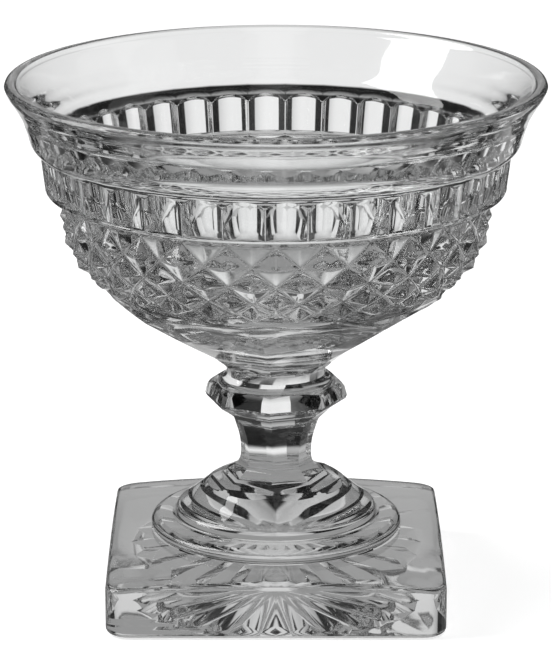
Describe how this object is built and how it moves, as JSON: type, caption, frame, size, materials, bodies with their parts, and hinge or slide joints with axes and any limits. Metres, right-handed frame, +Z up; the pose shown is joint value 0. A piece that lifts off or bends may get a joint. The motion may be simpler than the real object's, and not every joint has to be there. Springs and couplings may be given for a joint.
{
  "type": "footed sherbet glass",
  "caption": "Footed clear glass bowl with fluted wall, diamond band, faceted underside and stem, and a square base, for serving sherbet or ices.",
  "frame": {"origin": "centre of the base's underside, on the table plane", "axes": "+Z up along the glass's axis, -Y towards the front, the base's sides along X and Y"},
  "size_m": [0.102, 0.102, 0.1005],
  "materials": {
    "clear_glass": "polished clear glass, cut facets polished"
  },
  "bodies": {
    "root": {"bowl": "clear_glass", "knop": "clear_glass", "stem": "clear_glass", "foot": "clear_glass", "base": "clear_glass"}
  },
  "joints": []
}
